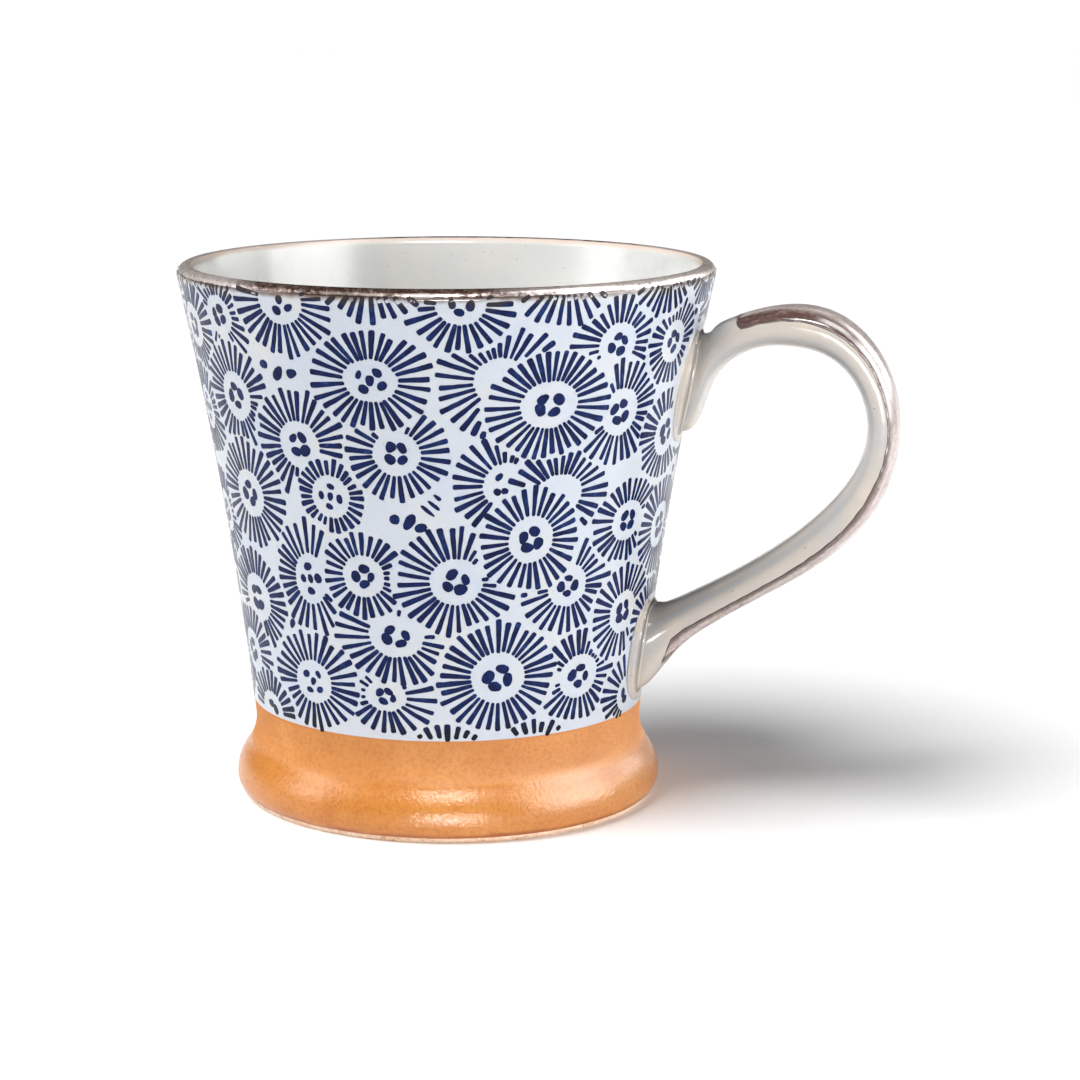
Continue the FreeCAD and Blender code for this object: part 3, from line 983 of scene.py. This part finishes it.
def tube_faces(rings, corners):
    """Faces of a tube whose points come ring after ring."""
    faces = []
    for ring in range(rings - 1):
        for corner in range(corners):
            after = (corner + 1) % corners
            a, b = ring * corners, (ring + 1) * corners
            faces.append((a + corner, a + after, b + after, b + corner))
    return faces


def section_angle(share):
    """Angle for a share of the way round, spread so that the section's points lie evenly."""
    angle = 2 * math.pi * share
    return angle - SECTION_EVENING * math.sin(4 * angle)


def make_handle_coat(handle, material):
    """The handle's pale glaze, whole under the brushed stripe. Its turn runs from 0 on the outer side to 1
    on the inner side."""
    points = []
    turns = []
    for station in range(HANDLE_STATIONS):
        place = handle.length * station / (HANDLE_STATIONS - 1)
        for corner in range(HANDLE_CORNERS):
            angle = section_angle(corner / HANDLE_CORNERS)
            points.append(handle.point(place, angle))
            turns.append(1 - abs(1 - angle / math.pi))
    faces = tube_faces(HANDLE_STATIONS, HANDLE_CORNERS)
    faces.append(tuple(range(HANDLE_CORNERS))[::-1])
    faces.append(tuple(range(len(points) - HANDLE_CORNERS, len(points))))
    coat = new_piece("handle_glaze_coat", points, faces, material)
    coat.data.attributes.new("turn", "FLOAT", "POINT").data.foreach_set("value", turns)
    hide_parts("handle_glaze")


def collar_place(handle, wall, angle, gap, towards_wall):
    """Where the handle's surface is gap away from the wall, near its upper (-1) or lower (1) root."""
    upper_rib, lower_rib = COLLAR_SEARCH_RIBS
    inside = 0.0 if towards_wall < 0 else handle.length
    outside = handle.at_rib(upper_rib if towards_wall < 0 else lower_rib)
    for _ in range(COLLAR_SEARCH_STEPS):
        middle = (inside + outside) / 2
        spot = handle.point(middle, angle)
        distance = math.hypot(spot.x, spot.y) - wall(spot.z)
        if distance > gap:
            outside = middle
        else:
            inside = middle
    return (inside + outside) / 2


def collar_profile():
    """Distance from the wall in reaches, and height over the handle in heights and in beads: from inside
    the wall, down the fillet, over the bead and into the handle."""
    profile = [(0.0, 1.0, 1.0)]
    for step in range(COLLAR_FILLET_STEPS + 1):
        angle = step / COLLAR_FILLET_STEPS * math.pi / 2
        profile.append((COLLAR_FILLET_REACH * (1 - math.cos(angle)), 1 - math.sin(angle), 1.0))
    return profile + [(distance, 0, bead) for distance, bead in COLLAR_BEAD_PROFILE]


def make_collar(handle, wall, name, node, towards_wall, material):
    """Slip joint: a smooth glazed fillet round one end of the handle, fuller at its flanks."""
    profile = collar_profile()
    rings = len(profile)
    points = []
    for row, (distance, height, bead) in enumerate(profile):
        for lane in range(COLLAR_LANES):
            angle = section_angle(lane / COLLAR_LANES)
            reach = COLLAR_REACH * (COLLAR_THIN_SHARE + (1 - COLLAR_THIN_SHARE) * math.sin(angle) ** 2)
            gap = reach * distance if row else -COLLAR_ROOT
            place = collar_place(handle, wall, angle, gap, towards_wall)
            points.append(handle.point(place, angle, COLLAR_HEIGHT * height + COLLAR_BEAD * bead))
    faces = tube_faces(rings, COLLAR_LANES)
    last = (rings - 1) * COLLAR_LANES
    for lane in range(COLLAR_LANES):
        after = (lane + 1) % COLLAR_LANES
        faces.append((last + lane, last + after, after, lane))
    if towards_wall > 0:
        faces = [face[::-1] for face in faces]
    collar = new_piece(name, points, faces, material)
    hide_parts(node)


def brush_edge(base, swing, seed, place):
    """Uneven edge of the brushed stripe, as an angle in degrees."""
    coarse = noise.noise(Vector((place * STRIPE_COARSE, seed, 0)))
    fine = noise.noise(Vector((place * STRIPE_FINE, seed, STRIPE_FINE_SEED)))
    return base + swing * (coarse + STRIPE_FINE_SHARE * fine)


def stripe_row(handle, share, begin, end, lift):
    """Points of the stroke across one station, and their brush coordinates."""
    place = begin + (end - begin) * share
    start_taper, end_taper = STRIPE_TAPERS
    taper = min(1, math.sqrt(share / start_taper), math.sqrt((1 - share) / end_taper))
    low_part = min(1, max(0, (share - STRIPE_LOW_START) / STRIPE_LOW_RUN))
    near_angle = STRIPE_NEAR_ANGLE + STRIPE_LOW_TURN * low_part
    near = brush_edge(near_angle, STRIPE_NEAR_SWING, STRIPE_NEAR_SEED, place)
    far = brush_edge(STRIPE_FAR_ANGLE, STRIPE_FAR_SWING, STRIPE_FAR_SEED, place)
    middle = (near + far) / 2
    start_run, end_run = STRIPE_RAGGED_RUNS
    end_share = max(1 - share / start_run, (share - (1 - end_run)) / end_run, 0)
    points = []
    brush = []
    for lane in range(STRIPE_LANES + 1):
        across = lane / STRIPE_LANES
        width_share = STRIPE_END_WIDTH + (1 - STRIPE_END_WIDTH) * taper
        angle = (middle + (near + (far - near) * across - middle) * width_share) * DEGREE
        wave = noise.noise(Vector((across * STRIPE_RAGGED_PITCH, STRIPE_RAGGED_SEED + round(share), 0)))
        ragged = STRIPE_RAGGED * end_share * wave
        on_border = share in (0, 1) or across in (0, 1)
        raised = 0 if on_border and lift > 0 else lift
        points.append(handle.point(place + ragged, angle, raised))
        inset = min(across, 1 - across, share * BRUSH_END_SCALE, (1 - share) * BRUSH_END_SCALE)
        brush.append((share * BRUSH_LENGTH, across, inset))
    return points, brush


def make_stripe(handle, material):
    """Iron-oxide stroke brushed along the handle's outer side, over its near shoulder."""
    begin, end = (handle.at_rib(rib) for rib in STRIPE_RIBS)
    lanes = STRIPE_LANES + 1
    points = []
    brush = []
    for lift in (STRIPE_LIFT, -STRIPE_LIFT):
        for station in range(STRIPE_STATIONS):
            row_points, row_brush = stripe_row(handle, station / (STRIPE_STATIONS - 1), begin, end, lift)
            points += row_points
            brush += row_brush
    half = STRIPE_STATIONS * lanes
    faces = []
    for station in range(STRIPE_STATIONS - 1):
        for lane in range(STRIPE_LANES):
            a = station * lanes + lane
            b = a + lanes
            faces.append((a, b, b + 1, a + 1))
            faces.append((half + a, half + a + 1, half + b + 1, half + b))
    border = list(range(lanes))
    border += [station * lanes + STRIPE_LANES for station in range(1, STRIPE_STATIONS)]
    border += [(STRIPE_STATIONS - 1) * lanes + lane for lane in reversed(range(STRIPE_LANES))]
    border += [station * lanes for station in reversed(range(1, STRIPE_STATIONS - 1))]
    for first, second in zip(border, border[1:] + border[:1]):
        faces.append((first, second, half + second, half + first))
    stripe = new_piece("handle_oxide_brushstroke", points, faces, material)
    layer = stripe.data.attributes.new("brush", "FLOAT_VECTOR", "POINT")
    layer.data.foreach_set("vector", [value for row in brush for value in row])
    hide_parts("handle_oxide_stripe")


# Studio

def make_camera():
    """The camera, in front of the mug and looking down on it."""
    camera = bpy.data.cameras.new("camera")
    camera.lens = CAMERA_LENS
    camera.sensor_width = CAMERA_SENSOR
    camera.shift_x = CAMERA_SHIFT_X
    camera.clip_start = CAMERA_CLIP_START
    camera.clip_end = 2 * FLOOR_REACH
    holder = bpy.data.objects.new("camera", camera)
    bpy.context.scene.collection.objects.link(holder)
    x = CAMERA_DISTANCE * math.cos(CAMERA_AZIMUTH)
    y = CAMERA_DISTANCE * math.sin(CAMERA_AZIMUTH)
    heading = Matrix.Rotation(CAMERA_AZIMUTH + math.pi / 2, 4, "Z")
    tilt = Matrix.Rotation(math.pi / 2 - CAMERA_PITCH, 4, "X")
    roll = Matrix.Rotation(CAMERA_ROLL, 4, "Z")
    holder.matrix_world = Matrix.Translation((x, y, CAMERA_HEIGHT)) @ heading @ tilt @ roll
    bpy.context.scene.camera = holder


def make_floor():
    """Pale floor that runs past the edges of the view."""
    corners = [(-1, -1), (1, -1), (1, 1), (-1, 1)]
    points = [(x * FLOOR_REACH, y * FLOOR_REACH, 0) for x, y in corners]
    floor = new_object("studio_floor", points, [(0, 1, 2, 3)], floor_paper())


def make_backdrop():
    """Pale wall round the floor that only the camera sees: it neither lights nor shades the mug."""
    points = []
    for side in range(BACKDROP_SIDES):
        angle = 2 * math.pi * side / BACKDROP_SIDES
        for height in (0, BACKDROP_HEIGHT):
            points.append((BACKDROP_RADIUS * math.cos(angle), BACKDROP_RADIUS * math.sin(angle), height))
    count = len(points)
    faces = [(a, (a + 2) % count, (a + 3) % count, a + 1) for a in range(0, count, 2)]
    backdrop = new_object("studio_backdrop", points, faces, backdrop_paper())
    for ray in ("diffuse", "glossy", "transmission", "shadow"):
        setattr(backdrop, "visible_" + ray, False)


def add_light(name, kind, power, azimuth, elevation):
    """Light at an azimuth and elevation from the mug, in radians, aimed at its middle."""
    light = bpy.data.lights.new(name, kind)
    light.energy = power
    holder = bpy.data.objects.new(name, light)
    outward = Vector((math.cos(azimuth), math.sin(azimuth), 0)) * math.cos(elevation)
    outward.z = math.sin(elevation)
    holder.location = outward * LIGHT_DISTANCE + Vector((0, 0, LIGHT_AIM_Z))
    holder.rotation_euler = outward.to_track_quat("Z", "Y").to_euler()
    holder.visible_camera = False
    bpy.context.scene.collection.objects.link(holder)
    return holder


def add_panel(row):
    """Soft rectangular light from a row of its name, place, size and power."""
    name, azimuth, elevation, width, height, power = row
    panel = add_light(name, "AREA", power, azimuth * DEGREE, elevation * DEGREE)
    panel.data.shape = "RECTANGLE"
    panel.data.size = width
    panel.data.size_y = height
    return panel


def make_lights():
    """Even dim surroundings, a soft sun, and the fills and cards."""
    world = bpy.data.worlds.new("studio")
    world.use_nodes = True
    tree = world.node_tree
    feed_all(tree, tree.nodes["Background"], Color=rgb(*WHITE), Strength=WORLD_STRENGTH)
    bpy.context.scene.world = world
    sun = add_light("window_light", "SUN", SUN_STRENGTH, SUN_AZIMUTH, SUN_ELEVATION)
    sun.data.angle = SUN_SPREAD
    sun.visible_glossy = False
    for row in FILLS:
        add_panel(row).visible_glossy = False
    for row in CARDS:
        add_panel(row).visible_diffuse = False


def dress(node, material):
    """Gives a CAD node its material."""
    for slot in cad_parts[node].material_slots:
        slot.material = material


bpy.context.scene.view_settings.view_transform = "Standard"
make_camera()
make_floor()
make_backdrop()
make_lights()

clay = fired_clay()
amber = amber_glaze()
beige = glaze("handle_glaze", HANDLE_TONES, HANDLE_SPECKS, handle_shade_tint)
stripe_oxide = handle_oxide()
for name in ("cup_body", "handle", "upper_slip_joint", "lower_slip_joint"):
    dress(name, clay)
for name in ("foot_glaze", "base_glaze"):
    dress(name, amber)
dress("outer_glaze", glaze("pale_glaze", WALL_TONES, WALL_SPECKS, wall_tint))
dress("liner_glaze", glaze("liner_glaze", LINER_TONES, LINER_SPECKS, liner_tint, LINER_ROUGHNESS))
dress("rim_oxide_band", rim_oxide())
dress("handle_glaze", beige)
dress("handle_oxide_stripe", stripe_oxide)

wall = Wall("outer_glaze")
make_print(wall, cobalt_print())
handle = Handle()
make_handle_coat(handle, beige)
make_collar(handle, wall, "upper_slip_collar", "upper_slip_joint", -1, beige)
make_collar(handle, wall, "lower_slip_collar", "lower_slip_joint", 1, beige)
make_stripe(handle, stripe_oxide)
